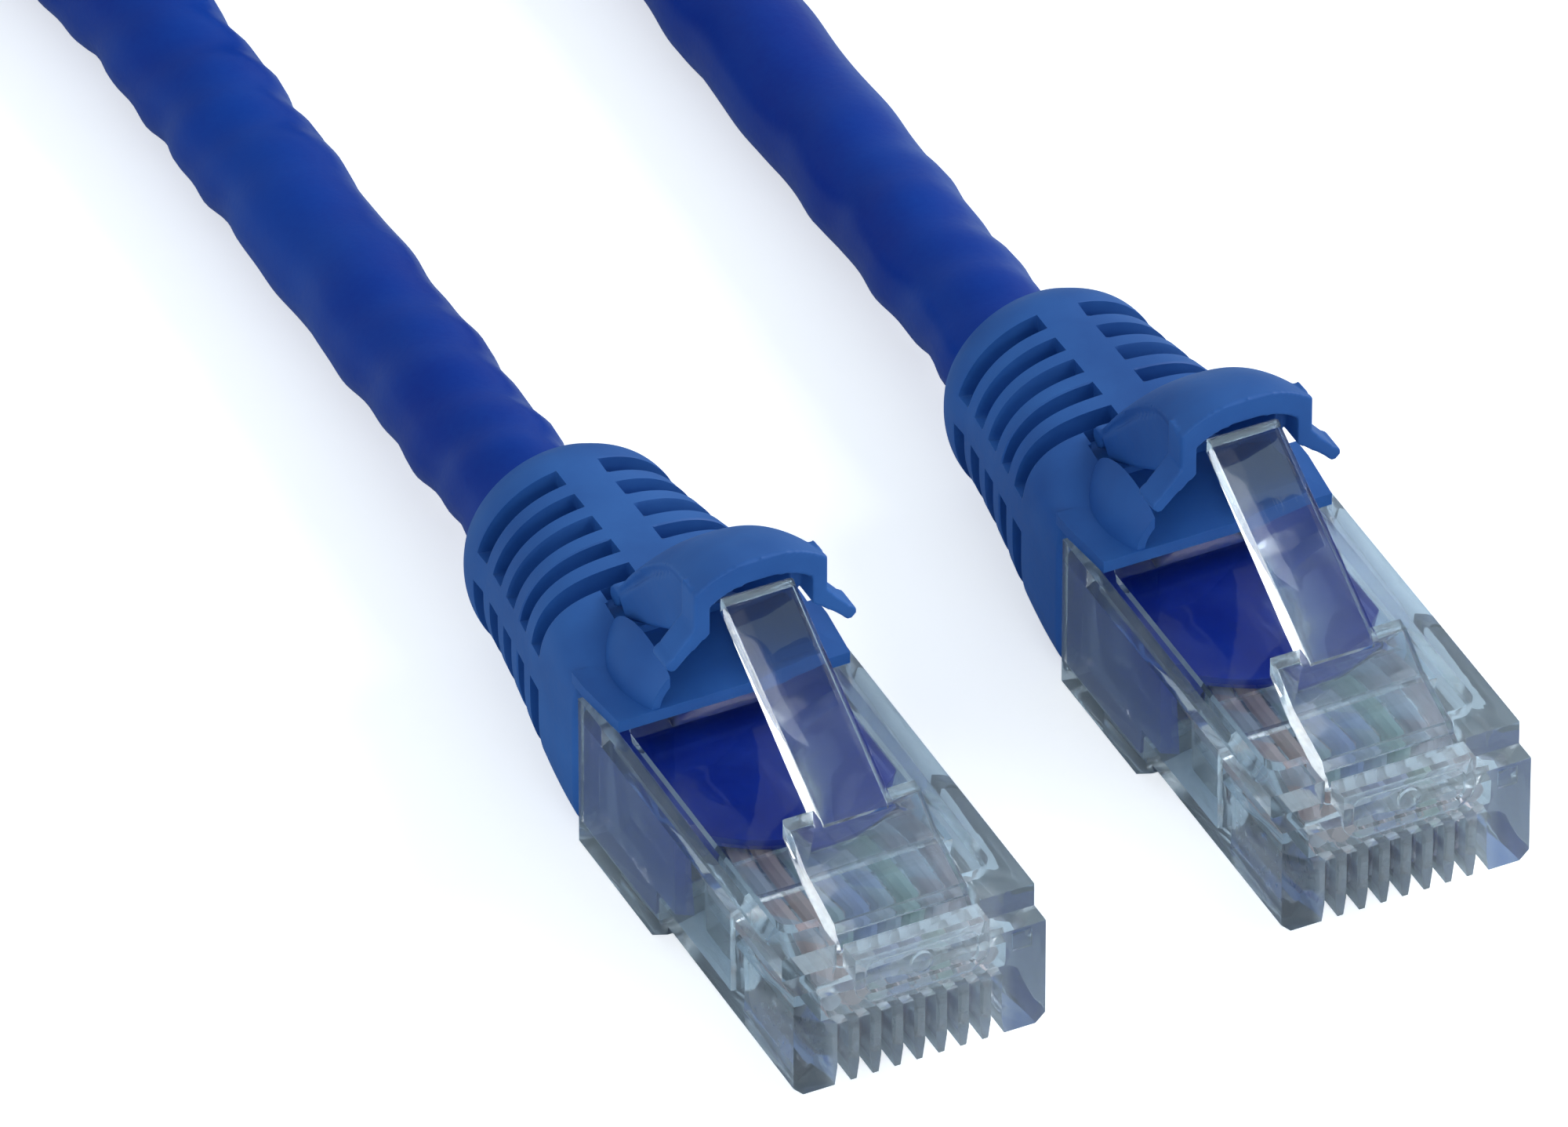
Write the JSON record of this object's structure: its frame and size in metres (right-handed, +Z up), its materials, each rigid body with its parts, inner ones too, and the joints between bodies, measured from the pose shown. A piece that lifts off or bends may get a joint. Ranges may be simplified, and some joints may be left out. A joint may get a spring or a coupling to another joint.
{
  "type": "ethernet patch cable",
  "caption": "Blue round data cable with a clear modular plug, snagless boot and hooded latch on each end, its spare length folded into a tied hank.",
  "frame": {"origin": "middle of the two plugs' box, on the surface that they lie on", "axes": "+Z up, latches up; the plug noses face -Y and the cord runs back along +Y; +X runs from plug a to plug b"},
  "size_m": [0.0468, 0.1878, 0.017],
  "materials": {
    "clear_plastic": "clear moulded polycarbonate, glossy",
    "clear_latch": "clear moulded polycarbonate, glossy, slightly worn",
    "gold_contact": "gold plate over phosphor bronze",
    "insert_blue": "dark blue soft vinyl, smooth",
    "boot_blue": "blue soft vinyl, fine matt texture",
    "jacket_blue": "blue extruded vinyl jacket, satin, slightly lumpy",
    "tie_strap": "black woven hook-and-loop strap",
    "wire_white_orange": "thin polyethylene insulation, satin",
    "wire_orange": "thin polyethylene insulation, satin",
    "wire_white_green": "thin polyethylene insulation, satin",
    "wire_blue": "thin polyethylene insulation, satin",
    "wire_white_blue": "thin polyethylene insulation, satin",
    "wire_green": "thin polyethylene insulation, satin",
    "wire_white_brown": "thin polyethylene insulation, satin",
    "wire_brown": "thin polyethylene insulation, satin"
  },
  "bodies": {
    "cable": {"housing_a": "clear_plastic", "contact_a1": "gold_contact", "wire_a1": "wire_white_orange", "contact_a2": "gold_contact", "wire_a2": "wire_orange", "contact_a3": "gold_contact", "wire_a3": "wire_white_green", "contact_a4": "gold_contact", "wire_a4": "wire_blue", "contact_a5": "gold_contact", "wire_a5": "wire_white_blue", "contact_a6": "gold_contact", "wire_a6": "wire_green", "contact_a7": "gold_contact", "wire_a7": "wire_white_brown", "contact_a8": "gold_contact", "wire_a8": "wire_brown", "load_bar_a": "clear_plastic", "strain_relief_a": "clear_plastic", "insert_a": "insert_blue", "boot_a": "boot_blue", "housing_b": "clear_plastic", "contact_b1": "gold_contact", "wire_b1": "wire_white_orange", "contact_b2": "gold_contact", "wire_b2": "wire_orange", "contact_b3": "gold_contact", "wire_b3": "wire_white_green", "contact_b4": "gold_contact", "wire_b4": "wire_blue", "contact_b5": "gold_contact", "wire_b5": "wire_white_blue", "contact_b6": "gold_contact", "wire_b6": "wire_green", "contact_b7": "gold_contact", "wire_b7": "wire_white_brown", "contact_b8": "gold_contact", "wire_b8": "wire_brown", "load_bar_b": "clear_plastic", "strain_relief_b": "clear_plastic", "insert_b": "insert_blue", "boot_b": "boot_blue", "cord_lead_a": "jacket_blue", "cord_lead_b": "jacket_blue", "cord_hank": "jacket_blue", "tie_a": "tie_strap", "tie_b": "tie_strap"},
    "latch_a": {"latch_a": "clear_latch"},
    "hood_a": {"hood_a": "boot_blue"},
    "latch_b": {"latch_b": "clear_latch"},
    "hood_b": {"hood_b": "boot_blue"}
  },
  "joints": [
    {"name": "hood_a_press", "type": "hinge", "parent": "cable", "child": "hood_a", "pos_m": [-0.01155, 0.00622, 0.0095], "axis": [1, 0, 0], "range_deg": [0, 15], "stiffness_Nm_per_rad": 0.004},
    {"name": "latch_a_press", "type": "hinge", "parent": "cable", "child": "latch_a", "pos_m": [-0.01155, -0.01603, 0.00705], "axis": [1, 0, 0], "range_deg": [-10, 0], "stiffness_Nm_per_rad": 0.004},
    {"name": "hood_b_press", "type": "hinge", "parent": "cable", "child": "hood_b", "pos_m": [0.01155, 0.00702, 0.0095], "axis": [1, 0, 0], "range_deg": [0, 15], "stiffness_Nm_per_rad": 0.004},
    {"name": "latch_b_press", "type": "hinge", "parent": "cable", "child": "latch_b", "pos_m": [0.01155, -0.01523, 0.00705], "axis": [1, 0, 0], "range_deg": [-10, 0], "stiffness_Nm_per_rad": 0.004}
  ],
  "couplings": [
    {"joint": "latch_a_press", "follows": "hood_a_press", "ratio": -0.65},
    {"joint": "latch_b_press", "follows": "hood_b_press", "ratio": -0.65}
  ]
}
